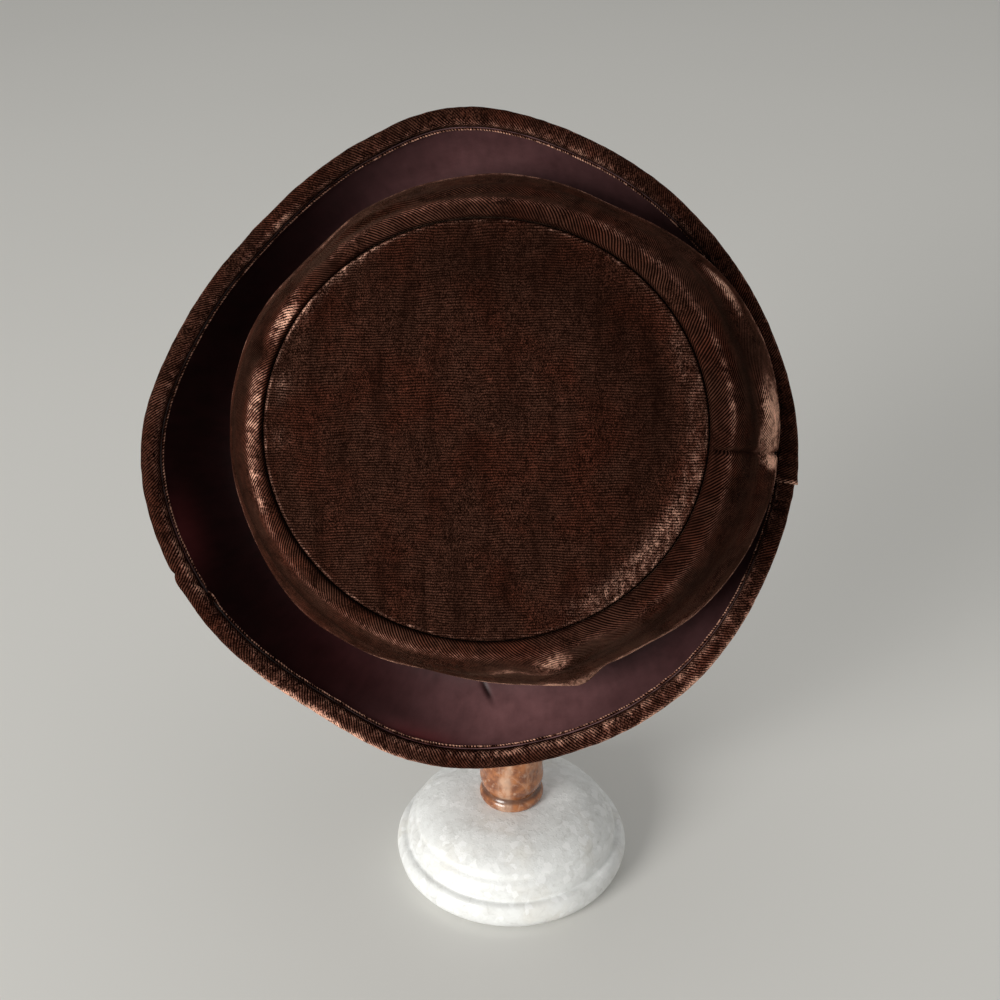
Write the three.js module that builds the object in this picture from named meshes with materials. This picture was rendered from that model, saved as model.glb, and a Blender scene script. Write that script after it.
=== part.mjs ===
// A velvet hat with a flat-topped crown and a turned-up, satin-faced brim, hung on a turned stone stand.
// Millimetres, +Z up. The origin is the centre of the stand's underside. The hat's front is towards -X,
// and its crown leans towards -Y.
import * as THREE from "three";

// Cloth and clearances
const CLOTH = 2; // velvet over its stiffening
const SATIN = 1;
const BINDING = 1.2; // velvet strip folded over the brim's edge
const GAP = 0.4; // between neighbouring pieces

// Crown, in the hat's own frame: z is 0 at the head opening, and angles run counter-clockwise from the back
const CROWN_HEIGHT = 79;
const TIP = { length: 143.5, width: 135 };
const OPENING = { length: 186, width: 166 };
const TIP_DOME = 1.2;
const TIP_RINGS = [0.35, 0.7, 0.92];

// The side band's outer surface, from the opening up to the tip seam
const BAND_ROWS = [
  { height: 0, length: 190, width: 170 },
  { height: 6, length: 191, width: 172.5 },
  { height: 15, length: 194.5, width: 178 },
  { height: 27, length: 196, width: 181 },
  { height: 39, length: 190, width: 175.5 },
  { height: 48, length: 182, width: 168 },
  { height: 57, length: 177, width: 164.5 },
  { height: 68, length: 168, width: 158 },
  { height: 76.5, length: 158, width: 148.5 },
  { height: 80.4, length: 149.5, width: 141 },
  { height: CROWN_HEIGHT, length: TIP.length + 2 * GAP, width: TIP.width + 2 * GAP },
];

// Soft dents (depth below 0) and puffs of the side band: where each lies, and how far it spreads
const BAND_FOLDS = [
  { name: "right back hollow", angle: 60, height: 30, depth: -4, wide: 20, tall: 20 },
  { name: "front puff", angle: 178, height: 34, depth: 1.2, wide: 30, tall: 22 },
  { name: "front left puff", angle: 222, height: 28, depth: 2, wide: 18, tall: 16 },
  { name: "left front hollow", angle: 256, height: 30, depth: -2, wide: 14, tall: 16 },
  { name: "left puff", angle: 287, height: 24, depth: 2.6, wide: 8, tall: 14 },
  { name: "left back hollow", angle: 302, height: 26, depth: -1.5, wide: 9, tall: 14 },
];

// Brim: where its edge stands, measured from the crown's axis and from the head opening
const BRIM_SECTIONS = [
  { angle: 0, radius: 102, rise: 10 },
  { angle: 22, radius: 99, rise: 10 },
  { angle: 45, radius: 99.5, rise: 11 },
  { angle: 72, radius: 104.5, rise: 16 },
  { angle: 100, radius: 112.5, rise: 24 },
  { angle: 116, radius: 110.5, rise: 27 },
  { angle: 140, radius: 110, rise: 30 },
  { angle: 160, radius: 115.5, rise: 33 },
  { angle: 184, radius: 126, rise: 34 },
  { angle: 208, radius: 124.5, rise: 33 },
  { angle: 237, radius: 118, rise: 30 },
  { angle: 256, radius: 119.5, rise: 28 },
  { angle: 282, radius: 115, rise: 23 },
  { angle: 306, radius: 111, rise: 17 },
  { angle: 334, radius: 104.5, rise: 12 },
];
const BRIM_SEAT = 3.5; // flat margin of the brim sewn under the crown
const BRIM_BEND = 0.6; // share of the brim's reach that it runs outwards before it turns up
const BRIM_STEPS = 4;
const BINDING_DEPTH = 5.5; // how far the binding reaches down each face of the brim
const FOLD_STEPS = 4;

// How the hat hangs on the stand
const HAT_PLACE = { x: -1.8, y: 25, z: 185 }; // centre of the head opening
const HAT_TILT = 62.3; // crown axis, from upright towards -Y
const HAT_TURN = -6.2; // crown axis, turned towards -X

// Stand
const FOOT = { radius: 47.2, round: 7.5 };
const STEP = { radius: 44, height: 12.5 }; // groove between the foot ring and the dome
const DOME_SIDE = { radius: 43, height: 21 };
const DOME_SHOULDER = { radius: 34, height: 29 };
const DOME_TOP = { radius: 22, height: 31 };
const POST_SEAT = { radius: 15, height: 32 };
const COLLAR = { radius: 12.7, height: 4.8, round: 1 };
const GROOVE = { radius: 11.4, height: 1.8 };
const BARREL = { radius: 12.6, height: 24, round: 1 };
const SHAFT_RADIUS = 11.1; // the hat's lower opening edge leans on it
const KNOB = { radius: 17.5, centre: 266 }; // holds up the crown's upper corner

const STEPS_AROUND = { hat: 60, base: 40, post: 24 };

const velvet = () => new THREE.MeshStandardMaterial({ color: 0x2b1710, roughness: 0.85 });
const plumSatin = () => new THREE.MeshStandardMaterial({ color: 0x2e191d, roughness: 0.4 });
const whiteStone = () => new THREE.MeshStandardMaterial({ color: 0xd9d8d2, roughness: 0.5 });
const redStone = () => new THREE.MeshStandardMaterial({ color: 0xa9633c, roughness: 0.25 });

const radians = THREE.MathUtils.degToRad;

function point(radius, height) {
  return new THREE.Vector2(radius, height);
}

// Radius of an oval at an angle from its long axis
function ovalRadius({ length, width }, angle) {
  const a = length / 2;
  const b = width / 2;
  return (a * b) / Math.hypot(b * Math.cos(radians(angle)), a * Math.sin(radians(angle)));
}

// A column of a section table as a smooth function of the angle, joined up all the way round
function around(rows, column) {
  const first = rows[0];
  const curve = new THREE.CubicInterpolant(
    [...rows.map((row) => row.angle), first.angle + 360],
    [...rows.map((row) => row[column]), first[column]],
    1,
  );
  curve.settings = { endingStart: THREE.WrapAroundEnding, endingEnd: THREE.WrapAroundEnding };
  return (angle) => curve.evaluate(THREE.MathUtils.euclideanModulo(angle, 360))[0];
}

// A lathe whose section changes with the angle. The section runs up its outer side and down its inner one,
// and either closes on itself or starts and ends on the axis.
function turned(section, steps) {
  const drawn = section(0);
  const onAxis = drawn[0].x === 0;
  const close = (outline) => (onAxis ? outline : [...outline, outline[0]]);
  const geometry = new THREE.LatheGeometry(close(drawn), steps);
  const place = geometry.attributes.position;
  for (let step = 0; step <= steps; step += 1) {
    const angle = (360 * (step % steps)) / steps;
    const outline = close(section(angle));
    outline.forEach(({ x, y }, i) => {
      place.setXYZ(step * outline.length + i, x * Math.cos(radians(angle)), x * Math.sin(radians(angle)), y);
    });
  }
  geometry.computeVertexNormals();
  return geometry;
}

function piece(name, geometry, material) {
  const mesh = new THREE.Mesh(geometry, material);
  mesh.name = name;
  return mesh;
}

// A line moved sideways by a distance: to the left of its run where the distance is above 0
function beside(line, distance) {
  return line.map((at, i) => {
    const before = line[Math.max(i - 1, 0)];
    const after = line[Math.min(i + 1, line.length - 1)];
    const run = after.clone().sub(before).normalize();
    return point(at.x - run.y * distance, at.y + run.x * distance);
  });
}

// Crown

function foldDepth(angle, height) {
  return BAND_FOLDS.reduce((sum, fold) => {
    const turn = THREE.MathUtils.euclideanModulo(angle - fold.angle + 180, 360) - 180;
    const away = (turn / fold.wide) ** 2 + ((height - fold.height) / fold.tall) ** 2;
    return sum + fold.depth * Math.exp(-away);
  }, 0);
}

function bandSection(angle) {
  const outside = BAND_ROWS.map((row) => {
    const radius = ovalRadius(row, angle) + foldDepth(angle, row.height);
    return point(radius, row.height);
  });
  return [...outside, ...beside(outside, CLOTH).reverse()];
}

function tipSection(angle) {
  const edge = ovalRadius(TIP, angle);
  const dome = TIP_RINGS.map((share) => point(edge * share, TIP_DOME * (1 - share ** 2)));
  const level = (rise) => dome.map(({ x, y }) => point(x, CROWN_HEIGHT + y + rise));
  return [
    point(0, CROWN_HEIGHT + TIP_DOME - CLOTH),
    ...level(-CLOTH),
    point(edge, CROWN_HEIGHT - CLOTH),
    point(edge, CROWN_HEIGHT),
    ...level(0).reverse(),
    point(0, CROWN_HEIGHT + TIP_DOME),
  ];
}

// Brim

const rimRadius = around(BRIM_SECTIONS, "radius");
const rimRise = around(BRIM_SECTIONS, "rise");

// The middle of the brim's wall, from the outer edge of its seat to its rim
function brimCurve(angle) {
  const floor = -GAP - CLOTH / 2;
  const start = point(ovalRadius(OPENING, angle) + BRIM_SEAT, floor);
  const rim = point(rimRadius(angle), rimRise(angle));
  const bend = point(THREE.MathUtils.lerp(start.x, rim.x, BRIM_BEND), floor);
  return new THREE.QuadraticBezierCurve(start, bend, rim);
}

// Shares of the brim's reach at which the facing is drawn, and the one where the binding starts
function brimShares(curve) {
  const reach = curve.getLength();
  const facingEnd = 1 - (BINDING_DEPTH + GAP) / reach;
  return {
    facing: Array.from({ length: BRIM_STEPS + 1 }, (_, i) => (facingEnd * i) / BRIM_STEPS),
    bindingStart: 1 - BINDING_DEPTH / reach,
  };
}

// Points along the brim at one distance from the middle of its wall, the crown's side being above 0
function along(curve, shares, distance) {
  return shares.map((share) => {
    const run = curve.getTangentAt(share);
    const at = curve.getPointAt(share);
    return point(at.x - run.y * distance, at.y + run.x * distance);
  });
}

function brimSection(angle) {
  const curve = brimCurve(angle);
  const shares = [...brimShares(curve).facing, 1];
  const face = (distance) => [
    point(ovalRadius(OPENING, angle), curve.v0.y + distance),
    ...along(curve, shares, distance),
  ];
  return [...face(-CLOTH / 2), ...face(CLOTH / 2).reverse()];
}

function facingSection(angle) {
  const curve = brimCurve(angle);
  const face = (distance) => along(curve, brimShares(curve).facing, distance);
  const back = CLOTH / 2 + GAP;
  return [...face(back), ...face(back + SATIN).reverse()];
}

// The half circle that carries a face of the binding over the rim, from the outer side to the crown's side
function overRim(curve, radius) {
  const rim = curve.getPointAt(1);
  const lean = curve.getTangentAt(1).angle();
  return Array.from({ length: FOLD_STEPS - 1 }, (_, i) => {
    const turn = lean - Math.PI / 2 + (Math.PI * (i + 1)) / FOLD_STEPS;
    return point(rim.x + radius * Math.cos(turn), rim.y + radius * Math.sin(turn));
  });
}

function bindingSection(angle) {
  const curve = brimCurve(angle);
  const shares = [brimShares(curve).bindingStart, 1];
  const face = (distance) => [
    ...along(curve, shares, -distance),
    ...overRim(curve, distance),
    ...along(curve, shares, distance).reverse(),
  ];
  const inside = CLOTH / 2 + GAP;
  return [...face(inside + BINDING), ...face(inside).reverse()];
}

function makeHat() {
  const hat = new THREE.Group();
  const add = (name, section, material) =>
    hat.add(piece(name, turned(section, STEPS_AROUND.hat), material));
  add("crown_tip", tipSection, velvet());
  add("crown_band", bandSection, velvet());
  add("brim", brimSection, velvet());
  add("brim_facing", facingSection, plumSatin());
  add("brim_binding", bindingSection, velvet());
  hat.position.copy(HAT_PLACE);
  hat.rotation.set(radians(HAT_TILT), radians(HAT_TURN), 0);
  return hat;
}

// Stand

function baseOutline() {
  const outline = new THREE.Path();
  const flat = FOOT.radius - FOOT.round;
  const roundEnd = Math.asin((STEP.height - FOOT.round) / FOOT.round);
  outline.moveTo(0, 0);
  outline.lineTo(flat, 0);
  outline.absarc(flat, FOOT.round, FOOT.round, -Math.PI / 2, roundEnd);
  outline.lineTo(STEP.radius, STEP.height);
  outline.bezierCurveTo(
    DOME_SIDE.radius,
    DOME_SIDE.height,
    DOME_SHOULDER.radius,
    DOME_SHOULDER.height,
    DOME_TOP.radius,
    DOME_TOP.height,
  );
  outline.lineTo(POST_SEAT.radius, POST_SEAT.height);
  outline.lineTo(0, POST_SEAT.height);
  return outline.getPoints(5);
}

function postOutline() {
  const foot = POST_SEAT.height + GAP;
  const collarTop = foot + COLLAR.height;
  const grooveTop = collarTop + GROOVE.height;
  const barrelTop = grooveTop + BARREL.height;
  const knobFoot = Math.asin(SHAFT_RADIUS / KNOB.radius);
  const outline = new THREE.Path();
  const bulge = ({ radius, height, round }, from, endRadius) =>
    outline.quadraticCurveTo(radius + round, from + height / 2, endRadius, from + height);
  outline.moveTo(0, foot);
  outline.lineTo(COLLAR.radius - COLLAR.round, foot);
  bulge(COLLAR, foot, COLLAR.radius - COLLAR.round);
  outline.lineTo(GROOVE.radius, collarTop + GROOVE.height / 2);
  outline.lineTo(BARREL.radius - BARREL.round, grooveTop);
  bulge(BARREL, grooveTop, SHAFT_RADIUS);
  outline.lineTo(SHAFT_RADIUS, KNOB.centre - KNOB.radius * Math.cos(knobFoot));
  outline.absarc(0, KNOB.centre, KNOB.radius, knobFoot - Math.PI / 2, Math.PI / 2);
  const points = outline.getPoints(6);
  points.at(-1).x = 0;
  return points;
}

// A plain lathe, stood up along +Z
function stoodUp(outline, steps) {
  return new THREE.LatheGeometry(outline, steps).rotateX(Math.PI / 2);
}

function makeStand() {
  const stand = new THREE.Group();
  stand.add(piece("stand_base", stoodUp(baseOutline(), STEPS_AROUND.base), whiteStone()));
  stand.add(piece("stand_post", stoodUp(postOutline(), STEPS_AROUND.post), redStone()));
  return stand;
}

const hatOnStand = new THREE.Group();
hatOnStand.add(makeStand(), makeHat());

export default hatOnStand;
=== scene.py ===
# A brown velvet hat with a flat-topped crown and a turned-up brim faced in plum satin, hung tilted on a
# small turned stand with a white stone base and a reddish stone post. Metres, +Z up.
import bisect
import math
from itertools import accumulate, pairwise

import bmesh
import bpy
from mathutils import Matrix, Vector, geometry, noise


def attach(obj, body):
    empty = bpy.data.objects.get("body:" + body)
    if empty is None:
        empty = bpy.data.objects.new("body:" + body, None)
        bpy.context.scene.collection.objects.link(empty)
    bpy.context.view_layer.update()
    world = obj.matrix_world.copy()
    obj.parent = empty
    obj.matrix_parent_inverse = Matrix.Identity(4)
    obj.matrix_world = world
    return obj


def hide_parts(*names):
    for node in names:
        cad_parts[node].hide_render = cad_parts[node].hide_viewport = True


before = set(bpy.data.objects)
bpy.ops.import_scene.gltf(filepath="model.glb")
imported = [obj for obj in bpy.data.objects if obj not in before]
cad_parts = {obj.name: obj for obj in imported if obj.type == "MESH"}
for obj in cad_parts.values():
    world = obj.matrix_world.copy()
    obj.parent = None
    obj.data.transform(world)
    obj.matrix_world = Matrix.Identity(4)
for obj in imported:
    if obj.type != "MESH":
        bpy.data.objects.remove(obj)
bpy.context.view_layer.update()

# Camera: in front of the hat and above it, looking down so that the crown's flat top faces the lens.
# The whole hat and the stand's base are in the frame.
camera = bpy.data.objects.new("camera", bpy.data.cameras.new("camera"))
camera.location = (-0.0047, -0.468, 0.4444)
camera.rotation_euler = (math.radians(59.6), 0, 0)
camera.data.lens = 54
camera.data.sensor_width = 36
bpy.context.scene.collection.objects.link(camera)
bpy.context.scene.camera = camera
bpy.context.scene.view_settings.view_transform = "Standard"

# Floor: a plain pale sheet that the stand is set on. It is wide enough to fill the view.
# Its finish is matt, with a faint cloudiness.
floor_half_width = 4.0
floor_grey = (0.73, 0.725, 0.7, 1)
floor_shade = (0.94 * 0.73, 0.94 * 0.725, 0.94 * 0.7, 1)
floor_cloud = 0.6


def fill(tree, made, inputs):
    """Sets a node's inputs to values, or links them from sockets."""
    for key, value in dict(inputs).items():
        if isinstance(value, bpy.types.NodeSocket):
            tree.links.new(value, made.inputs[key])
        else:
            made.inputs[key].default_value = value


def node(tree, kind, inputs=(), **settings):
    """A shader node with its settings made and its inputs set or linked."""
    made = tree.nodes.new("ShaderNode" + kind)
    for key, value in settings.items():
        setattr(made, key, value)
    fill(tree, made, inputs)
    return made


def started(name):
    """A new material and its node tree, which holds the shader and nothing else yet."""
    material = bpy.data.materials.new(name)
    material.use_nodes = True
    return material, material.node_tree


def finish_with(tree, inputs):
    """Sets or links the shader's own sockets."""
    fill(tree, tree.nodes["Principled BSDF"], inputs)


def cloud(tree, place, size, detail=2.0, roughness=0.5):
    """Soft noise from 0 to 1 whose blotches are about the given size."""
    inputs = {"Vector": place, "Scale": 1 / size, "Detail": detail, "Roughness": roughness}
    return node(tree, "TexNoise", inputs).outputs[0]


def ease(tree, value, low, high):
    """0 where the value is at or under low, 1 at high or over, smooth between them."""
    inputs = {"Value": value, "From Min": low, "From Max": high}
    return node(tree, "MapRange", inputs, interpolation_type="SMOOTHSTEP").outputs[0]


def work(tree, operation, *values):
    return node(tree, "Math", enumerate(values), operation=operation).outputs[0]


def blend(tree, share, first, second, way="MIX"):
    """Two colours laid over each other, by a share that may vary."""
    inputs = {0: share, 6: first, 7: second}
    return node(tree, "Mix", inputs, data_type="RGBA", blend_type=way).outputs[2]


def floor_material():
    material, tree = started("floor")
    place = node(tree, "TexCoord").outputs["Object"]
    grey = blend(tree, cloud(tree, place, floor_cloud), floor_grey, floor_shade)
    finish_with(tree, {"Base Color": grey, "Roughness": 0.6, "Specular IOR Level": 0.25})
    return material


floor_mesh = bmesh.new()
bmesh.ops.create_grid(floor_mesh, x_segments=1, y_segments=1, size=floor_half_width)
floor = bpy.data.objects.new("floor", bpy.data.meshes.new("floor"))
floor_mesh.to_mesh(floor.data)
floor_mesh.free()
floor.data.materials.append(floor_material())
bpy.context.scene.collection.objects.link(floor)

# Light: one large soft panel on the left and in front, a weaker one overhead, and an even pale surround.
# It is plain studio light, with a soft shadow to the right.


def soft_panel(name, place, target, size, power, colour):
    panel = bpy.data.lights.new(name, "AREA")
    panel.shape = "DISK"
    panel.size = size
    panel.energy = power
    panel.color = colour
    lamp = bpy.data.objects.new(name, panel)
    lamp.location = place
    lamp.visible_camera = False
    lamp.rotation_euler = (Vector(target) - Vector(place)).to_track_quat("-Z", "Y").to_euler()
    bpy.context.scene.collection.objects.link(lamp)


hat_middle = (0, 0, 0.17)
left_place = (-1.55, -1.75, 0.82)
top_place = (0.2, 0.2, 1.9)
soft_panel("left_panel", left_place, hat_middle, size=1.2, power=56, colour=(1, 0.985, 0.95))
soft_panel("top_panel", top_place, hat_middle, size=2.6, power=5, colour=(1, 0.99, 0.98))
surround = bpy.data.worlds.new("surround")
surround.use_nodes = True
surround.node_tree.nodes["Background"].inputs["Color"].default_value = (1, 0.99, 0.96, 1)
surround.node_tree.nodes["Background"].inputs["Strength"].default_value = 0.4
bpy.context.scene.world = surround

# Stand base: a squat dome on a rounded foot ring, with a fine groove between the two and a faint line above.
# It is turned from one block of white marble and polished, and stands on its flat underside.
foot_radius = 0.0472
foot_round = 0.0075
groove_height = 0.0125
groove_edge = (0.044, 0.0128)
groove_bottom = (0.0432, 0.0127)
dome_foot = (0.0427, 0.0132)
dome_side = (0.0428, 0.0216)
dome_shoulder = (0.034, 0.029)
dome_top = (0.022, 0.0303)
dome_steps = 40
line_height = 0.0212
line_depth = 0.0007
line_width = 0.001
seat_radius = 0.015
seat_height = 0.0313
marble_white = (0.86, 0.875, 0.87, 1)
marble_grey = (0.56, 0.56, 0.54, 1)
marble_cream = (0.84, 0.81, 0.74, 1)
marble_crystal = (0.95, 0.96, 0.96, 1)


def hump(value, middle, width):
    """A soft hump, 1 at its middle and fading to 0 on both sides."""
    return math.exp(-(((value - middle) / width) ** 2))


def arc(centre, radius, start, end, steps):
    """Points of an arc in an outline's plane, from one angle to another in degrees."""
    turns = [math.radians(start + (end - start) * step / steps) for step in range(steps + 1)]
    x, y = centre
    return [(x + radius * math.cos(turn), y + radius * math.sin(turn)) for turn in turns]


def turned(outline, steps):
    """A solid turned about Z from an outline of radius and height that starts and ends on the axis."""
    bm = bmesh.new()
    line = [bm.verts.new((radius, 0, height)) for radius, height in outline]
    edges = [bm.edges.new(pair) for pair in pairwise(line)]
    bmesh.ops.spin(bm, geom=line + edges, cent=(0, 0, 0), axis=(0, 0, 1), dvec=(0, 0, 0),
                   angle=2 * math.pi, steps=steps, use_merge=True)
    bmesh.ops.remove_doubles(bm, verts=bm.verts, dist=1e-6)
    bmesh.ops.recalc_face_normals(bm, faces=bm.faces)
    return bm


def roughen(bm, size, depth):
    """Moves the surface in and out a little, as hand finishing leaves it."""
    bm.normal_update()
    for vert in bm.verts:
        if vert.co.z > foot_round / 2:
            vert.co += vert.normal * depth * noise.noise(vert.co / size)


def finished(name, bm, materials, slot, *nodes):
    """A piece of the object from its mesh. It rides on the one body and stands for its CAD nodes."""
    for face in bm.faces:
        face.smooth = True
    piece = bpy.data.objects.new(name, bpy.data.meshes.new(name))
    bm.to_mesh(piece.data)
    bm.free()
    for material in materials:
        piece.data.materials.append(material)
    bpy.context.scene.collection.objects.link(piece)
    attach(piece, "root")
    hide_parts(*nodes)
    return piece


def wavered(tree, place, size, reach):
    """Places moved about by soft noise of the given size, as far as the given reach."""
    waver = node(tree, "TexNoise", {"Vector": place, "Scale": 1 / size}).outputs["Color"]
    inputs = {0: waver, 1: (reach, reach, reach), 2: place}
    return node(tree, "VectorMath", inputs, operation="MULTIPLY_ADD").outputs[0]


def white_marble():
    """Sugary white crystals with fine grey grains and soft cream clouds."""
    material, tree = started("white_marble")
    place = node(tree, "TexCoord").outputs["Object"]
    clouds = ease(tree, cloud(tree, place, 0.009, 5, 0.65), 0.4, 0.7)
    grains = ease(tree, cloud(tree, place, 0.0017, 3, 0.7), 0.5, 0.68)
    cream = ease(tree, cloud(tree, place, 0.017, 3), 0.52, 0.75)
    drift = wavered(tree, place, 0.003, 0.002)
    crystals = node(tree, "TexVoronoi", {"Vector": drift, "Scale": 1 / 0.0026}).outputs["Color"]
    sparkle = node(tree, "SeparateColor", {0: crystals}).outputs[0]
    cells = {"Vector": drift, "Scale": 1 / 0.0052}
    edge = node(tree, "TexVoronoi", cells, feature="DISTANCE_TO_EDGE").outputs[0]
    cracks = work(tree, "MULTIPLY", ease(tree, edge, 0.1, 0.0), clouds)
    greyness = work(tree, "MULTIPLY_ADD", clouds, 0.28, work(tree, "MULTIPLY", grains, 0.05))
    greyness = work(tree, "MULTIPLY_ADD", cracks, 0.28, greyness)
    greyness = work(tree, "MULTIPLY_ADD", sparkle, 0.27, greyness)
    tint = blend(tree, greyness, marble_white, marble_grey)
    tint = blend(tree, work(tree, "MULTIPLY", cream, 0.4), tint, marble_cream)
    bright = work(tree, "MULTIPLY", ease(tree, sparkle, 0.72, 0.95), 0.7)
    tint = blend(tree, bright, tint, marble_crystal)
    pits = work(tree, "ADD", grains, work(tree, "MULTIPLY", sparkle, 0.6))
    bump = node(tree, "Bump", {"Strength": 0.28, "Distance": 0.0003, "Height": pits}).outputs[0]
    polish = node(tree, "MapRange", {"Value": sparkle, "To Min": 0.3, "To Max": 0.55}).outputs[0]
    finish_with(tree, {"Base Color": tint, "Roughness": polish, "Normal": bump})
    return material


foot_end = math.degrees(math.asin((groove_height - foot_round) / foot_round))
dome_handles = [(*point, 0) for point in (dome_foot, dome_side, dome_shoulder, dome_top)]
dome = geometry.interpolate_bezier(*dome_handles, dome_steps)
base_outline = [
    (0, 0),
    *arc((foot_radius - foot_round, foot_round), foot_round, -90, foot_end, 16),
    groove_edge,
    groove_bottom,
    *[(point.x - line_depth * hump(point.y, line_height, line_width), point.y) for point in dome],
    (seat_radius, seat_height),
    (0, seat_height),
]
base_mesh = turned(base_outline, steps=128)
roughen(base_mesh, size=0.014, depth=0.0004)
finished("base", base_mesh, [white_marble()], "white_stone", "stand_base")

# Stand post: a turned column with a round collar at its foot, a groove and a slightly swelling barrel.
# Above that a plain shaft and a rounded knob carry the hat. It is one polished length of reddish stone.
post_foot = 0.0314
collar_radius = 0.0121
collar_bulge = 0.0138
collar_height = 0.004
neck_radius = 0.0109
neck_height = 0.0018
barrel_start = 0.0112
barrel_start_bulge = 0.0136
barrel_start_height = 0.008
barrel_radius = 0.0125
barrel_bulge = 0.0128
barrel_height = 0.0178
shaft_radius = 0.0111
knob_radius = 0.0175
knob_height = 0.266
stone_orange = (0.42, 0.155, 0.055, 1)
stone_brown = (0.2, 0.068, 0.03, 1)
stone_pale = (0.66, 0.45, 0.32, 1)
# Colour of the painted shade in the groove.
stone_groove_shade = (0.07, 0.025, 0.012, 1)
# Place and widths of the painted highlight streak, across x.
highlight_middle = -0.0028
highlight_half = 0.0042
highlight_core = 0.001
# Widths of the painted shade in the groove.
groove_shade_half = 0.0014
groove_shade_core = 0.0004


def swelling(start_radius, middle_radius, low, height, end_radius, steps=10):
    """A bulging side, from one radius out towards another and back."""
    handles = [(start_radius, low), (middle_radius, low + height / 2), (end_radius, low + height)]
    points = []
    for step in range(steps + 1):
        share = step / steps
        weights = ((1 - share) ** 2, 2 * share * (1 - share), share**2)
        points.append(tuple(sum(w * handle[i] for w, handle in zip(weights, handles)) for i in (0, 1)))
    return points


def red_stone():
    """Orange and brown clouds with pale veins under a polish, a broad pale vertical streak of painted
    highlight, and painted shade in the groove.
    """
    material, tree = started("red_stone")
    place = node(tree, "TexCoord").outputs["Object"]
    clouds = ease(tree, cloud(tree, place, 0.006, 4, 0.6), 0.4, 0.62)
    tint = blend(tree, clouds, stone_orange, stone_brown)
    flecks = ease(tree, cloud(tree, place, 0.0022, 3), 0.55, 0.75)
    tint = blend(tree, work(tree, "MULTIPLY", flecks, 0.45), tint, stone_pale)
    slant = {"Vector": place, "Rotation": (0.5, 0.7, 0), "Scale": (1, 1, 0.5)}
    lean = node(tree, "Mapping", slant).outputs[0]
    veins = cloud(tree, lean, 0.011, 3)
    vein_line = work(tree, "ABSOLUTE", work(tree, "SUBTRACT", veins, 0.5))
    vein_share = ease(tree, vein_line, 0.03, 0.0)
    tint = blend(tree, work(tree, "MULTIPLY", vein_share, 0.2), tint, stone_pale)
    x, _, z = node(tree, "SeparateXYZ", {0: place}).outputs
    # Painted highlight: a broad pale streak just left of the middle, broken up by noise.
    from_middle = work(tree, "ABSOLUTE", work(tree, "SUBTRACT", x, highlight_middle))
    broken = ease(tree, cloud(tree, lean, 0.004, 3), 0.3, 0.6)
    painted_highlight = work(tree, "MULTIPLY", ease(tree, from_middle, highlight_half, highlight_core), broken)
    tint = blend(tree, work(tree, "MULTIPLY", painted_highlight, 0.6), tint, stone_pale)
    # Painted shade: darker in the groove between the collar and the barrel.
    from_groove = work(tree, "ABSOLUTE", work(tree, "SUBTRACT", z, (collar_top + barrel_foot) / 2))
    groove_shade = ease(tree, from_groove, groove_shade_half, groove_shade_core)
    tint = blend(tree, work(tree, "MULTIPLY", groove_shade, 0.75), tint, stone_groove_shade)
    bump = node(tree, "Bump", {"Strength": 0.12, "Distance": 0.0003, "Height": flecks}).outputs[0]
    finish_with(tree, {
        "Base Color": tint,
        "Roughness": 0.24,
        "Specular IOR Level": 0.6,
        "Coat Weight": 0.15,
        "Coat Roughness": 0.1,
        "Normal": bump,
    })
    return material


collar_top = post_foot + collar_height
barrel_foot = collar_top + neck_height
barrel_low = barrel_foot + barrel_start_height
knob_start = math.degrees(math.asin(shaft_radius / knob_radius)) - 90
post_outline = [
    (0, post_foot),
    *swelling(collar_radius, collar_bulge, post_foot, collar_height, collar_radius),
    (neck_radius, collar_top + neck_height / 2),
    *swelling(barrel_start, barrel_start_bulge, barrel_foot, barrel_start_height, barrel_radius),
    *swelling(barrel_radius, barrel_bulge, barrel_low, barrel_height, shaft_radius)[1:],
    *arc((0, knob_height), knob_radius, knob_start, 89, 18),
    (0, knob_height + knob_radius),
]
finished("post", turned(post_outline, steps=72), [red_stone()], "red_stone", "stand_post")

# Crown band: a bias-cut strip of velvet that makes the crown's side. Its ends meet in a seam at the back,
# its foot is sewn to the brim, and its upper edge rolls over to the tip's seam. It is drawn in millimetres
# in the hat's own frame: z is the crown's axis, 0 at the head opening, and angles run from the back.
hat = (
    Matrix.Translation((-0.0018, 0.025, 0.185))
    @ Matrix.Rotation(math.radians(62.3), 4, "X")
    @ Matrix.Rotation(math.radians(-6.2), 4, "Y")
    @ Matrix.Scale(0.001, 4)
)
velvet_wall = 2
bias_lean = -40
tip_size = (143.5, 135)
crown_height = 79
back_seam = 355.4
gather_depth = 0.8
gather_length = 4.5
gather_reach = 5
drag_depth = 0.45
held_down = 4
# Limits of the nap and light mark: painted shade down to the lowest, painted highlight up to the band's
# highest.
nap_lowest = -0.8
band_nap_highest = 1.3
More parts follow.
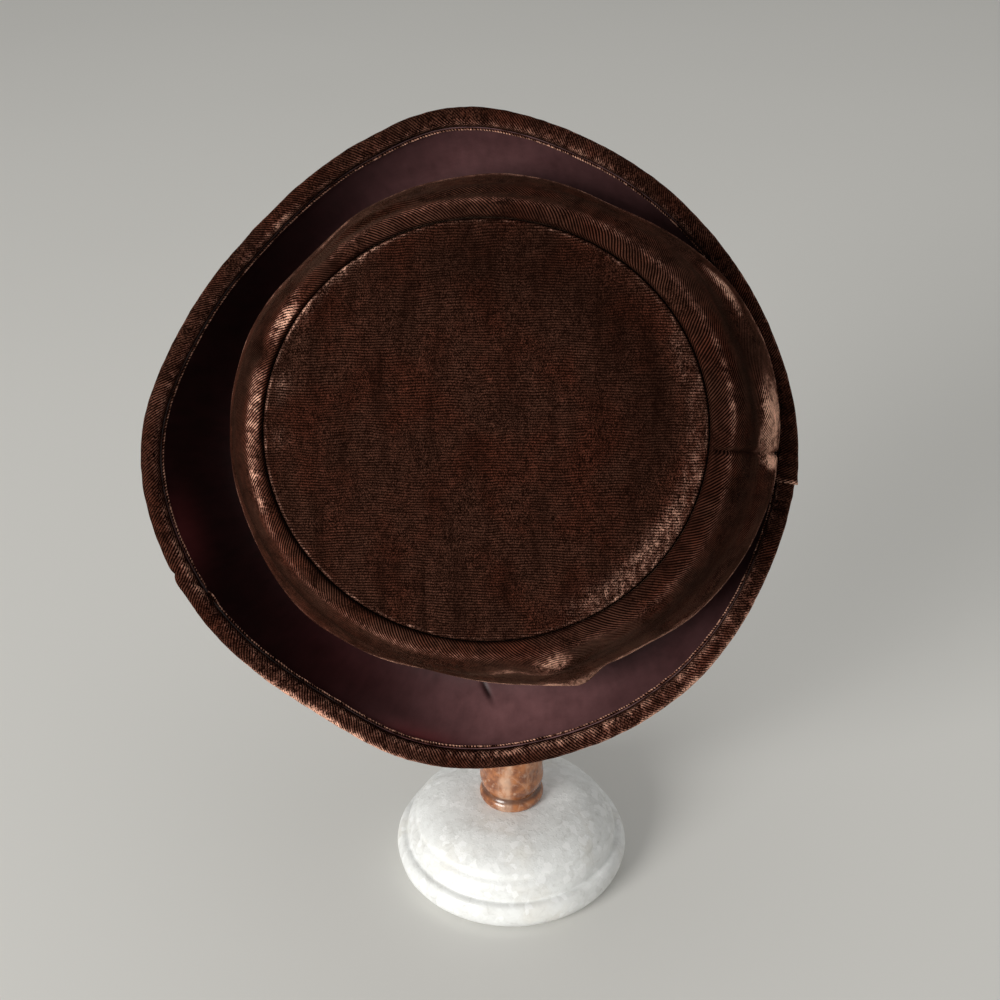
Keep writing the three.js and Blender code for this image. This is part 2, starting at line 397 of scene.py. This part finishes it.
# Where the painted highlights on the roll's crest and on the band's brow lie, in millimetres from the tip's
# seam.
crest_from_tip = 6
brow_from_tip = 56.5
seam_grooves = [
    # millimetres from the back seam, depth, width
    (0, -1.5, 0.7),
    (0, -0.5, 5),
]
girth_row = 8
seam_row = -5
band_rows = [
    # height, length, width
    (0, 190, 170),
    (6, 191, 172.5),
    (15, 194.5, 178),
    (27, 196, 181),
    (39, 190, 175.5),
    (48, 182, 168),
    (57, 177, 164.5),
    (68, 168, 158),
    (76.5, 157, 147.7),
    (79.5, 149.5, 141),
    (80, 146, 137.5),
    (79.3, 144.4, 135.9),
    (77, 143.9, 135.4),
    (75, 143.5, 135),
    (75, 141.5, 133),
    (77.3, 138.5, 130),
]
band_folds = [
    # angle, height, depth (hollows below 0), wide in degrees, tall
    (60, 30, -4, 20, 20),
    (178, 38, -0.8, 34, 20),
    (222, 28, 2, 18, 16),
    (256, 30, -2, 14, 16),
    (287, 24, 2.6, 8, 14),
    (302, 26, -1.5, 9, 14),
    (288, 27, 0.9, 2.8, 10),
    (294.5, 27, -1.1, 3.2, 12),
    (95, 44, -1, 34, 14),
    (137, 44, -3.6, 12, 24),
    (12, 44, -1.6, 34, 14),
    (16, 56, -1.6, 13, 8),
    (4, 42, 1.2, 7, 8),
    (31, 42, 1.2, 6, 8),
]
band_puckers = [
    # angle, millimetres from the tip's seam, depth, wide in degrees, tall
    (105, 14.5, -1.6, 34, 4),
    (105, 6, 0.6, 40, 4),
    (50, 6, 0.6, 40, 3.5),
    (240, 6, 0.6, 36, 3.5),
    (330, 7, 0.8, 40, 3.5),
    (170, 12, -0.6, 30, 7),
    (161, 8, -1.4, 2.5, 7),
    (132, 7, -0.6, 3, 7),
    (286, 24, 1.8, 7, 10),
    (276, 22, -0.9, 3, 8),
    (297, 15, -1.0, 4, 10),
    (230, 10, -0.5, 5, 8),
    (315, 12, 0.6, 18, 7),
    (14, 13, 0.8, 16, 7),
]
# Patches of painted highlight and painted shade on the band. They stand for nap that catches the light or
# lies flat in shade.
band_nap = [
    # angle, millimetres from the tip's seam, strength (painted shade below 0, painted highlight above), wide
    # in degrees, tall
    (150, 2.6, 0.5, 8, 4),
    (165, 1.4, 0.4, 26, 1.2),
    (161, 7, -0.9, 2.5, 7),
    (174, 2.6, 0.44, 8, 4.5),
    (180, 28, -0.32, 40, 15),
    (318, 26, -0.32, 26, 14),
    (228, 30, -0.4, 30, 18),
    (192, 4, 0.3, 9, 3.5),
    (160, 13, -0.4, 30, 5),
    (3, 49, 1.4, 8, 10),
    (358, 37, 0.5, 4, 8),
    (353.6, 52, 1.1, 1.5, 8),
    (31, 46, 1.0, 7, 4.5),
    (17, 40, -0.5, 5, 9),
    (14, 28, -0.7, 18, 8),
    (14, 8, 0.3, 24, 2),
    (287, 14, 1, 5, 5),
    (283, 26, 0.8, 7, 9),
    (273, 22, 0.9, 5, 6),
    (272, 56, 0.5, 30, 7),
    (345, 2, -0.55, 48, 3.5),
    (318, 60, 0.6, 20, 3),
    (306, 53, 0.7, 14, 4.5),
    (318, 12, 0.3, 18, 6),
    (235, 7, 0.15, 30, 4),
    (52, 20, 0.3, 16, 12),
    (75, 2, -0.5, 25, 2.5),
    (135, 2, -0.5, 9, 2.5),
    (230, 2, -0.4, 28, 2),
]
velvet_gap = (0.006, 0.002, 0.0012, 1)
velvet_pile = (0.12, 0.049, 0.032, 1)
velvet_red = (0.125, 0.037, 0.022, 1)
# The next three are the colours of the painted highlights where the velvet's nap catches the light.
velvet_warm_highlight = (0.35, 0.14, 0.1, 1)
velvet_dusty_highlight = (0.34, 0.175, 0.13, 1)
velvet_pale_highlight = (0.9, 0.5, 0.36, 1)
backing_gap = (0.018, 0.012, 0.009, 1)
backing_thread = (0.05, 0.035, 0.028, 1)
backing_stain = (0.03, 0.02, 0.015, 1)
backing_pitch = 0.7


def through(stations, values):
    """A smooth curve through values at rising stations. Each slope is the mean of the two beside it."""
    steps = [high - low for low, high in pairwise(stations)]
    rises = [(high - low) / step for (low, high), step in zip(pairwise(values), steps)]
    slopes = [rises[0], *[(before + after) / 2 for before, after in pairwise(rises)], rises[-1]]

    def at(station):
        i = min(max(bisect.bisect_right(stations, station) - 1, 0), len(steps) - 1)
        t = (station - stations[i]) / steps[i]
        bend = steps[i] * (slopes[i] * t * (1 - t) ** 2 - slopes[i + 1] * t**2 * (1 - t))
        return values[i] + (values[i + 1] - values[i]) * t * t * (3 - 2 * t) + bend

    return at


def oval(length, width, angle):
    """Radius of an oval at an angle from its long axis, in degrees."""
    a = length / 2
    b = width / 2
    return a * b / math.hypot(b * math.cos(math.radians(angle)), a * math.sin(math.radians(angle)))


def patches(table, angle, across):
    """The sum of soft round patches, each with an angle, a place across, a strength, wide and tall."""
    total = 0
    for middle, place, strength, wide, tall in table:
        turn = (angle - middle + 180) % 360 - 180
        total += strength * math.exp(-((turn / wide) ** 2) - ((across - place) / tall) ** 2)
    return total


def humps(table, value):
    """The sum of soft humps, each with a middle, a strength and a width."""
    return sum(strength * hump(value, middle, width) for middle, strength, width in table)


def ripple(*place):
    """Smooth noise about 0."""
    return noise.noise(Vector((*place, 0)[:3]))


def rolled(columns, rows, place, flat, closed=True, **marks):
    """A strip of cloth rolled into shape. place(turn, share) is a point in the hat's frame, for a share of
    the way round and across, and flat(turn, share) the same point on the cloth before it was sewn. Each
    mark(turn, share) is kept on the cloth under its own name, such as the painted highlight and shade of its
    nap."""
    bm = bmesh.new()
    cloth = bm.loops.layers.uv.new("cloth")
    kept = {bm.verts.layers.float.new(name): mark for name, mark in marks.items()}
    bmesh.ops.create_grid(bm, x_segments=columns, y_segments=rows, size=0.5)
    half = Vector((0.5, 0.5, 0))
    for face in bm.faces:
        for loop in face.loops:
            loop[cloth].uv = flat(*(loop.vert.co + half)[:2])
    for vert in bm.verts:
        turn, share, _ = vert.co + half
        vert.co = hat @ Vector(place(turn, share))
        for layer, mark in kept.items():
            vert[layer] = mark(turn, share)
    if closed:
        bmesh.ops.remove_doubles(bm, verts=bm.verts, dist=1e-6)
    return bm


def lined(piece, thickness):
    """Gives a piece of cloth its thickness, inwards, with the backing's material on its inner side."""
    wall = piece.modifiers.new("thickness", "SOLIDIFY")
    wall.thickness = thickness / 1000
    wall.offset = -1
    wall.material_offset = len(piece.data.materials) - 1


def polar(radius, angle, height):
    return (radius * math.cos(math.radians(angle)), radius * math.sin(math.radians(angle)), height)


def leaned(tree, place, turn, stretch=1.0):
    """Places on the cloth, turned so that x runs across its rows, and stretched along them."""
    inputs = {"Vector": place, "Rotation": (0, 0, math.radians(turn)), "Scale": (1, 1 / stretch, 1)}
    return node(tree, "Mapping", inputs).outputs[0]


def rows_of(tree, place, pitch):
    """Fine even ridges across x, from 0 between them to 1 on top."""
    return node(tree, "TexWave", {"Vector": place, "Scale": math.pi / 10 / pitch}).outputs["Fac"]


def velvet(name, turn, pitch, row_share, fibre, mottle, warm_highlight):
    """Dark brown grainy pile in fine rows, with painted highlights where the nap and light attribute is above
    0 and painted shade where it is below 0.
    """
    material, tree = started(name)
    cloth = node(tree, "UVMap", uv_map="cloth").outputs[0]
    # The nap and light attribute holds painted highlights above 0 and painted shade below 0. These stand for
    # nap that stands up or lies flat.
    nap = node(tree, "Attribute", attribute_name="nap").outputs["Fac"]
    worn = ease(tree, cloud(tree, leaned(tree, cloth, turn, 2), 3.5, 4, 0.7), 0.35, 0.65)
    raised_or_lit = work(tree, "MAXIMUM", nap, 0)
    standing_or_lit = work(tree, "MULTIPLY", raised_or_lit, work(tree, "MULTIPLY_ADD", worn, 0.7, 0.6))
    flat_or_shaded = work(tree, "MINIMUM", nap, 0)
    drift = wavered(tree, cloth, 20, 3)
    across = leaned(tree, drift, turn)
    grain = ease(tree, cloud(tree, leaned(tree, drift, turn, 1.6), fibre, 2, 0.7), 0.22, 0.78)
    clumps = cloud(tree, leaned(tree, drift, turn, 1.4), 1.0, 3, 0.75)
    seen = ease(tree, cloud(tree, cloth, 16, 4, 0.6), 0.2, 0.6)
    rows = rows_of(tree, across, pitch)
    tufts = cloud(tree, cloth, 3, 3, 0.65)
    patch = cloud(tree, cloth, 24, 4, 0.6)
    crushed = cloud(tree, leaned(tree, cloth, turn + 90, 5), 7, 3, 0.6)
    tops = blend(tree, work(tree, "MULTIPLY", seen, row_share), grain, rows)
    uneven = work(tree, "MULTIPLY", work(tree, "SUBTRACT", tufts, 0.5), mottle)
    ragged = work(tree, "ADD", tops, uneven)
    brown = blend(tree, ease(tree, patch, 0.4, 0.66), velvet_pile, velvet_red)
    specks = work(tree, "MULTIPLY", ease(tree, ragged, 0.3, 1.15), ease(tree, crushed, 0.1, 0.6))
    ground = blend(tree, specks, velvet_gap, brown)
    # Painted shade: darker towards the gap colour where the attribute is below 0.
    ground = blend(tree, work(tree, "ADD", flat_or_shaded, 1), velvet_gap, ground)
    lift = work(tree, "MULTIPLY", standing_or_lit, 0.3)
    flecks = ease(tree, work(tree, "MULTIPLY_ADD", standing_or_lit, 0.1, clumps), 0.43, 0.6)
    caught = ease(tree, work(tree, "ADD", ragged, lift), 0.5, 0.9)
    lit = work(tree, "MULTIPLY", ease(tree, standing_or_lit, 0, 0.7), caught)
    lit = work(tree, "MULTIPLY", lit, work(tree, "MULTIPLY_ADD", flecks, 0.85, 0.15))
    # Painted highlight: pale and warm colours where the attribute is above 0, broken up by rows and flecks.
    tint = blend(tree, lit, ground, blend(tree, ease(tree, standing_or_lit, 0.2, 1), warm_highlight, velvet_pale_highlight))
    bump = node(tree, "Bump", {"Strength": 0.7, "Distance": 0.0004, "Height": ragged}).outputs[0]
    finish_with(tree, {
        "Base Color": tint,
        "Roughness": 0.75,
        "Specular IOR Level": 0.0,
        "Sheen Weight": 0.06,
        "Sheen Roughness": 0.12,
        "Sheen Tint": (1, 0.6, 0.42, 1),
        "Normal": bump,
    })
    return material


def backing():
    """Plain-woven dark cotton on the hat's hidden side."""
    material, tree = started("backing")
    cloth = node(tree, "UVMap", uv_map="cloth").outputs[0]
    crossing = leaned(tree, cloth, 90)
    warp = rows_of(tree, cloth, backing_pitch)
    weave = work(tree, "MULTIPLY", warp, rows_of(tree, crossing, backing_pitch))
    tint = blend(tree, weave, backing_gap, backing_thread)
    tint = blend(tree, cloud(tree, cloth, 30, 3), tint, backing_stain)
    bump = node(tree, "Bump", {"Strength": 0.5, "Distance": 0.0002, "Height": weave}).outputs[0]
    finish_with(tree, {"Base Color": tint, "Roughness": 0.9, "Specular IOR Level": 0.1, "Normal": bump})
    return material


band_heights, band_lengths, band_widths = zip(*band_rows)
band_radii = [(length + width) / 4 for length, width in zip(band_lengths, band_widths)]
band_spans = [math.hypot(high - low, after - before)
              for (low, high), (before, after) in zip(pairwise(band_heights), pairwise(band_radii))]
band_stations = list(accumulate(band_spans, initial=0.0))
band_depth = band_stations[-1]
band_girth = 2 * math.pi * band_radii[girth_row]
height_at = through(band_stations, band_heights)
length_at = through(band_stations, band_lengths)
width_at = through(band_stations, band_widths)
tip_seam = band_stations[seam_row]


def crowded(turn, about=0.0):
    """A share of the way round, with the columns closer together about one place."""
    swing = math.sin(2 * math.pi * (turn - about)) + math.sin(2 * math.pi * about)
    return turn - 0.5 * swing / (2 * math.pi)


def band_angle(turn):
    return back_seam + 360 * crowded(turn)


def band_relief(turn, station):
    """How far the cloth stands off its plain form: puckers at both seams and soft drag lines."""
    angle = band_angle(turn)
    along = crowded(turn) * band_girth
    from_tip = tip_seam - station
    from_seam = min(along, band_girth - along)
    gathers = gather_depth * ripple(along / gather_length, 7.3) * hump(from_tip, 0, gather_reach)
    drag = drag_depth * ripple((along + station) / 16, (along - station) / 60, 2.1)
    free = min(max(from_tip / held_down, 0), 1)
    loose = free * free * (3 - 2 * free)
    even = 1 - hump(from_seam, 0, held_down)
    folds = humps(seam_grooves, from_seam) + patches(band_puckers, angle, from_tip)
    return ((gathers + drag) * even + folds) * loose


def band_place(turn, share):
    angle = band_angle(turn)
    station = share * band_depth
    above = station + 0.5
    below = station - 0.5
    height = height_at(station)
    radius = oval(length_at(station), width_at(station), angle) + patches(band_folds, angle, height)
    run = oval(length_at(above), width_at(above), angle) - oval(length_at(below), width_at(below), angle)
    rise = height_at(above) - height_at(below)
    off = band_relief(turn, station) / math.hypot(run, rise)
    return polar(radius + off * rise, angle, height - off * run)


def band_flat(turn, share):
    return (crowded(turn) * band_girth, share * band_depth)


# The band's nap and light mark: painted highlights above 0, painted shade below 0.
def band_nap_and_light(turn, share):
    from_tip = tip_seam - share * band_depth
    along = crowded(turn) * band_girth
    back = math.cos(math.radians(band_angle(turn)))
    # Painted highlight along the roll's crest, wider and weaker towards the back.
    crest = crest_from_tip + 1.6 * max(0, back)
    wide = 2.8 + 1.4 * max(0, back) + 0.4 * max(0, -back)
    ridge_light = (0.36 + 0.25 * ripple(along / 18, 3.3)) * (1 - 0.2 * max(0, back))
    ridge = ridge_light * hump(from_tip, crest, wide)
    # Painted highlight along the band's brow, where its side turns away at the outer bulge.
    brow = brow_from_tip + 5 * back
    brow_highlight = (0.44 + 0.4 * ripple(along / 14, 8.3)) * hump(from_tip, brow, 4)
    # Painted shade in the hollow of the band's side and in the tip's seam.
    hollow_shade = -0.32 * hump(from_tip, 25, 12) - 0.8 * hump(max(0, from_tip), 0, 0.6)
    nap = patches(band_nap, band_angle(turn), from_tip) + ridge + brow_highlight + hollow_shade
    return max(nap_lowest, min(band_nap_highest, nap))


crown_velvet = velvet("crown_velvet", bias_lean, pitch=0.9, row_share=0.9, fibre=0.4, mottle=0.8,
                      warm_highlight=velvet_warm_highlight)
inner_cloth = backing()
band_mesh = rolled(600, 64, band_place, band_flat, nap=band_nap_and_light)
band = finished("band", band_mesh, [crown_velvet, inner_cloth], "velvet", "crown_band")
lined(band, velvet_wall)

# Crown tip: the flat oval top, one piece of the same velvet with its rows running from front to back.
# Its edge is turned down into the seam with the band, and stands up in a thin ridge beside it.
tip_dome = 1.2
tip_edge_round = 0.6
tip_edge_drop = 1.6
tip_ridge_in = 1.8
tip_ridge_width = 0.9
tip_sag = 0.35
tip_sag_size = 22
tip_crowding = 1.7
# Patches of painted highlight at the tip's edge, where its nap is also ruffled, and broad patches of painted
# shade across the tip.
tip_nap = [
    # angle, millimetres from the edge, strength (painted shade below 0, painted highlight above), wide in
    # degrees, tall
    (352, 5, 0.4, 22, 5),
    (326, 5, 0.4, 14, 6),
    (304, 4, 0.36, 12, 5),
    (22, 5, 0.34, 14, 4.5),
    (40, 3, 0.2, 12, 4),
    (168, 5, 0.35, 5, 3.5),
    (182, 6, 0.25, 4, 4),
    (152, 4, 0.12, 10, 5),
    (132, 1.8, 0.4, 20, 2),
    (75, 1.3, 0.25, 45, 1.0),
    (0, 17, -0.5, 32, 9),
    (45, 14, -0.4, 24, 12),
    (92, 12, -0.4, 36, 14),
]


def tip_reach(share):
    """Share of the radius, from the edge in to the centre, with the rings closer together at the edge."""
    return 1 - share**tip_crowding


def tip_place(turn, share):
    angle = 360 * turn
    edge = oval(*tip_size, angle)
    radius = edge * tip_reach(share)
    from_edge = edge - radius
    x, y, _ = polar(radius, angle, 0)
    sag = tip_sag * ripple(x / tip_sag_size, y / tip_sag_size, 4.4)
    ridge = (0.35 + 0.5 * ripple(turn * 70, 1.7)) * hump(from_edge, tip_ridge_in, tip_ridge_width)
    turned_down = -tip_edge_drop * max(0, 1 - from_edge / tip_edge_round) ** 2
    return (x, y, crown_height + tip_dome * (1 - (radius / edge) ** 2) + sag + ridge + turned_down)


def tip_flat(turn, share):
    return polar(oval(*tip_size, 360 * turn) * tip_reach(share), 360 * turn, 0)[:2]


# The tip's nap and light mark: painted highlights and painted shade.
def tip_nap_and_light(turn, share):
    from_edge = oval(*tip_size, 360 * turn) * (1 - tip_reach(share))
    # Painted highlight along the edge ridge, stronger at the front than at the back.
    ridge_light = 0.3 - 0.14 * math.cos(2 * math.pi * turn) + 0.4 * ripple(turn * 80, 3.9)
    ridge = ridge_light * hump(from_edge, 0.9, 0.5)
    return max(nap_lowest, min(1, patches(tip_nap, 360 * turn, from_edge) + ridge))


tip_velvet = velvet("tip_velvet", turn=90, pitch=0.87, row_share=0.36, fibre=0.3, mottle=0.5,
                    warm_highlight=velvet_dusty_highlight)
tip_mesh = rolled(420, 48, tip_place, tip_flat, nap=tip_nap_and_light)
lined(finished("tip", tip_mesh, [tip_velvet, inner_cloth], "velvet", "crown_tip"), velvet_wall)

# Brim: a stiff wall covered in velvet on its outer side, sewn flat under the head opening, then turned up
# all round. Its edge stands at a different height and reach at each angle, as hands have shaped it.
opening_size = (186, 166)
brim_seat = 3.5
brim_bend = 0.6
brim_floor = -1.4
brim_half = 1.0
brim_reach = 44.0
brim_girth = 720.0
seat_share = 0.12
brim_sections = [
    # angle, reach of the edge from the crown's axis, rise of the edge above the head opening
    (0, 102, 10),
    (22, 99, 10),
    (45, 99.5, 11),
    (72, 104.5, 16),
    (100, 112.5, 24),
    (116, 110.5, 27),
    (140, 110, 30),
    (160, 115.5, 33),
    (184, 126, 34),
    (208, 124.5, 33),
    (237, 118, 30),
    (256, 119.5, 28),
    (282, 115, 23),
    (306, 111, 17),
    (334, 104.5, 12),
]


def all_round(rows, column):
    """A column of a table of angles as a smooth function, joined up all the way round."""
    wrapped = [(row[0] + 360 * lap, row[column]) for lap in (-1, 0, 1) for row in rows]
    curve = through(*zip(*wrapped))
    return lambda angle: curve(angle % 360)


rim_reach = all_round(brim_sections, 1)
rim_rise = all_round(brim_sections, 2)


def brim_curve(angle):
    """The three points that bend the middle of the brim's wall, from its seat to its edge."""
    start = Vector((oval(*opening_size, angle) + brim_seat, brim_floor))
    rim = Vector((rim_reach(angle), rim_rise(angle)))
    bend = Vector((start.x + (rim.x - start.x) * brim_bend, brim_floor))
    return start, bend, rim


def brim_point(curve, t, off):
    """Radius and height at a share of the bend, moved off the wall's middle, to the crown's side above 0."""
    start, bend, rim = curve
    at = start * (1 - t) ** 2 + bend * 2 * t * (1 - t) + rim * t**2
    run = ((bend - start) * (1 - t) + (rim - bend) * t).normalized()
    return at + Vector((-run.y, run.x)) * off


def rim_share(curve, distance):
    """The share of the bend that lies a short distance down from the edge."""
    return 1 - distance / (2 * (curve[2] - curve[1]).length)


def brim_place(turn, share):
    angle = 360 * turn
    curve = brim_curve(angle)
    if share < seat_share:
        inner = oval(*opening_size, angle)
        radius = inner + (curve[0].x - inner) * share / seat_share
        return polar(radius, angle, brim_floor - brim_half)
    t = (share - seat_share) / (1 - seat_share)
    point = brim_point(curve, t, -brim_half)
    return polar(point.x, angle, point.y)


def strip_flat(turn, share):
    return (turn * brim_girth, share * brim_reach)


def plain_nap(turn, share):
    return 0.15 * max(0, ripple(turn * 30, share * 3, 5.5))


brim_velvet = velvet("brim_velvet", bias_lean, pitch=0.88, row_share=0.8, fibre=0.4, mottle=0.7,
                     warm_highlight=velvet_warm_highlight)
brim_mesh = rolled(360, 32, brim_place, strip_flat, nap=plain_nap)
lined(finished("brim_wall", brim_mesh, [brim_velvet, inner_cloth], "velvet", "brim"), 2 * brim_half)

# Brim facing: plum satin laid on the side of the brim towards the crown, its weave running outwards.
# It is drawn smooth over the wall, with a few soft drag lines and one small pinch beside the crown.
satin_off = 2.4
satin_wall = 1
binding_depth = 5.5
facing_tuck = 1.5
facing_inset = 2.4
facing_drag = 0.22
facing_join = 5
pinch_share = 0.658
pinch_angle = 265.6
pinch_radius = 97
pinch_lean = 0.4
pinch_fold = 0.6
pinch_wide = 0.7
pinch_long = 3.5
satin_dark = (0.009, 0.0018, 0.002, 1)
satin_plum = (0.018, 0.004, 0.0046, 1)
# Colour of the painted red glints on the satin.
satin_red = (0.17, 0.032, 0.036, 1)
# Colour of the painted sheen on the satin.
satin_faded = (0.2, 0.09, 0.094, 1)
# Places of painted sheen on the satin, lighter where it would catch the light.
faded_places = [
    # angle, radius, strength, wide in degrees, tall
    (273, 107, 0.95, 24, 16),
    (100, 103, 0.5, 26, 16),
    (60, 98, 0.4, 20, 14),
    (318, 104, 0.25, 18, 10),
    (250, 114.5, 0.3, 8, 4),
]
# Places of painted red glints and glow on the satin, near the binding.
red_places = [
    # angle, radius, strength, wide in degrees, tall
    (198, 121, 0.55, 6, 4),
    (255, 115, 0.8, 7, 3),
    (236, 106, 0.14, 14, 14),
]


def facing_angle(turn):
    return facing_join + 360 * crowded(turn, pinch_share)


def pinch_depth(angle, radius):
    """A short slanting fold beside the crown, from 0 around it to 1 in its bottom."""
    across = (angle - pinch_angle + 180) % 360 - 180 - pinch_lean * (radius - pinch_radius)
    return hump(across, 0, pinch_wide) * hump(radius, pinch_radius, pinch_long)


def facing_at(turn, share):
    """The angle of a place on the satin, the brim's bend there and how far along it the place lies."""
    angle = facing_angle(turn)
    curve = brim_curve(angle)
    return angle, curve, rim_share(curve, binding_depth - facing_tuck) * (1 - share)


def facing_place(turn, share):
    angle, curve, t = facing_at(turn, share)
    smooth = brim_point(curve, t, satin_off)
    radius = oval(*opening_size, angle) + facing_inset if share == 1 else smooth.x
    drag = facing_drag * ripple(angle / 14, share * 1.2, 8.1) * math.sin(math.pi * share)
    off = drag - pinch_fold * pinch_depth(angle, radius)
    lifted = brim_point(curve, t, satin_off + off)
    return polar(radius + lifted.x - smooth.x, angle, smooth.y + off * 0.8)


def satin():
    """Smooth plum satin: fine threads, faint streaks, a soft gloss, lighter places of painted sheen and red
    places of painted glints.
    """
    material, tree = started("plum_satin")
    cloth = node(tree, "UVMap", uv_map="cloth").outputs[0]
    sheen_share = node(tree, "Attribute", attribute_name="faded").outputs["Fac"]
    redness = node(tree, "Attribute", attribute_name="red").outputs["Fac"]
    drawn = node(tree, "Mapping", {"Vector": cloth, "Scale": (1, 0.3, 1)}).outputs[0]
    streaks = cloud(tree, drawn, 3.5, 4, 0.6)
    clouds = cloud(tree, cloth, 13, 5, 0.65)
    tint = blend(tree, ease(tree, streaks, 0.3, 0.7), satin_dark, satin_plum)
    mixed = work(tree, "ADD", work(tree, "MULTIPLY", clouds, 0.7), work(tree, "MULTIPLY", streaks, 0.3))
    spread = {"Value": mixed, "From Min": 0.3, "From Max": 0.7, "To Min": 0.6, "To Max": 1.2}
    mottle = node(tree, "MapRange", spread).outputs[0]
    # Painted sheen, then painted red glints, each broken up by the mottle.
    tint = blend(tree, work(tree, "MULTIPLY", sheen_share, mottle), tint, satin_faded)
    tint = blend(tree, work(tree, "MULTIPLY", redness, mottle), tint, satin_red)
    threads = rows_of(tree, cloth, 0.32)
    height = work(tree, "ADD", work(tree, "MULTIPLY", threads, 0.3), streaks)
    bump = node(tree, "Bump", {"Strength": 0.1, "Distance": 0.0003, "Height": height}).outputs[0]
    gloss = node(tree, "MapRange", {"Value": clouds, "To Min": 0.36, "To Max": 0.5}).outputs[0]
    finish_with(tree, {
        "Base Color": tint,
        "Roughness": gloss,
        "Specular IOR Level": 0.45,
        "Sheen Weight": 0.05,
        "Sheen Roughness": 0.3,
        "Sheen Tint": (0.9, 0.6, 0.7, 1),
        "Normal": bump,
    })
    return material


def facing_spot(turn, share):
    """Angle and radius of a place on the satin."""
    angle, curve, t = facing_at(turn, share)
    return angle, brim_point(curve, t, satin_off).x


# Strength of the painted sheen. It is less in the pinch, which is left darker as painted shade.
def facing_faded(turn, share):
    spot = facing_spot(turn, share)
    return max(0, min(1, patches(faded_places, *spot)) - 0.7 * pinch_depth(*spot))


# Strength of the painted red glints.
def facing_red(turn, share):
    return min(1, patches(red_places, *facing_spot(turn, share)))


def facing_flat(turn, share):
    return strip_flat(crowded(turn, pinch_share), share)


facing_mesh = rolled(720, 36, facing_place, facing_flat, faded=facing_faded, red=facing_red)
lined(finished("facing", facing_mesh, [satin(), inner_cloth], "satin", "brim_facing"), satin_wall)

# Brim binding: a bias strip of the same velvet folded over the brim's edge and sewn down on both sides.
# Its inner edge is turned under in a thin bead with a painted highlight. The ends lap at the back, the upper
# one over the lower.
binding_off = 2.6
binding_wall = 1.2
binding_crowding = 1.6
lap_angle = 350.6
lap_overlap = 1.0
lap_rise = 1.2
lap_run = 9
second_join = 206
binding_swells = [
    # millimetres from the strip's inner edge, height, width
    (0.5, 0.45, 0.35),
    (1.9, -0.5, 0.8),
    (4.8, 0.6, 2.0),
]
# Painted highlights on the bead, the strip's crest and its outer edge, and painted shade beside the bead.
binding_highlights_and_shade = [
    # millimetres from the strip's inner edge, strength (painted shade below 0, painted highlight above),
    # width
    (0.5, 0.85, 0.4),
    (2, -0.35, 0.9),
    (5, 0.4, 2.2),
    (12.4, 0.4, 1.3),
]
join_folds = [
    # millimetres past the second join, height, width
    (0, -0.8, 1.1),
    (3, 0.5, 2.5),
]
# Patches of painted highlight on the binding, mostly along its outer edge.
rim_nap = [
    # angle, millimetres from the strip's inner edge, strength, wide in degrees, tall
    (240, 12, 1.2, 15, 2.8),
    (308, 12, 1, 18, 2.5),
    (305, 7, 0.12, 22, 3),
    (272, 6, 0.15, 20, 3),
    (136, 6, 0.2, 3, 2),
    (206, 5, 0.2, 4, 3),
]


def across_binding(share):
    """Millimetres from the strip's outer edge, with the rows of points closer together at the inner edge."""
    return (2 * binding_depth + math.pi * binding_off) * (1 - (1 - share) ** binding_crowding)


def binding_section(curve, share, puff):
    """Radius and height on the strip, from its outer edge over the rim to its inner edge."""
    cap = math.pi * binding_off
    total = 2 * binding_depth + cap
    run = across_binding(share)
    edge = rim_share(curve, binding_depth)
    if run <= binding_depth:
        t = edge + (1 - edge) * run / binding_depth
        return brim_point(curve, t, -binding_off - puff)
    if run >= binding_depth + cap:
        left = (total - run) / binding_depth
        t = edge + (1 - edge) * left
        return brim_point(curve, t, binding_off + puff)
    turn = math.pi * ((run - binding_depth) / cap - 0.5)
    _, bend, rim = curve
    out = (rim - bend).normalized()
    side = Vector((-out.y, out.x))
    return rim + (out * math.cos(turn) + side * math.sin(turn)) * (binding_off + puff)


def binding_angle(turn):
    return lap_angle - lap_overlap + (360 + lap_overlap) * turn


def binding_puff(turn, share):
    """How far the strip stands off: full in the middle, puckered, with a bead at the inner edge."""
    along = turn * brim_girth
    run = across_binding(share)
    from_inner = across_binding(1) - run
    full = 0.25 * math.sin(math.pi * min(run / 12, 1)) + humps(binding_swells, from_inner)
    tucked = -0.5 * max(0, 1 - from_inner / 0.3)
    wobble = 0.14 * ripple(along / 11, run / 6, 6.6) + 0.16 * ripple(along / 3.2, run / 4, 2.6)
    lap = lap_rise * math.exp(-along / lap_run)
    slant = along - (second_join - lap_angle) % 360 / 360 * brim_girth + from_inner * 0.8 - 6
    return full + tucked + wobble + lap + humps(join_folds, slant)


def binding_place(turn, share):
    angle = binding_angle(turn)
    point = binding_section(brim_curve(angle), share, binding_puff(turn, share))
    return polar(point.x, angle, point.y)


def binding_flat(turn, share):
    return (turn * brim_girth, across_binding(share))


def binding_nap_and_light(turn, share):
    from_inner = across_binding(1) - across_binding(share)
    # Painted highlights and painted shade across the strip, with random wear and a pale frayed end at the
    # lap.
    sheen = humps(binding_highlights_and_shade, from_inner)
    worn = 0.25 * max(0, ripple(turn * 34, from_inner / 9, 9.4))
    frayed = 0.9 * hump(turn * brim_girth, 0, 1.2)
    # Painted highlights from the rim's patches.
    edge = patches(rim_nap, binding_angle(turn), from_inner)
    return max(nap_lowest, min(1, sheen + worn + frayed + edge))


binding_velvet = velvet("binding_velvet", bias_lean, pitch=0.85, row_share=0.55, fibre=0.45, mottle=0.7,
                        warm_highlight=velvet_warm_highlight)
binding_mesh = rolled(900, 44, binding_place, binding_flat, closed=False, nap=binding_nap_and_light)
binding = finished("binding", binding_mesh, [binding_velvet, inner_cloth], "velvet", "brim_binding")
lined(binding, binding_wall)
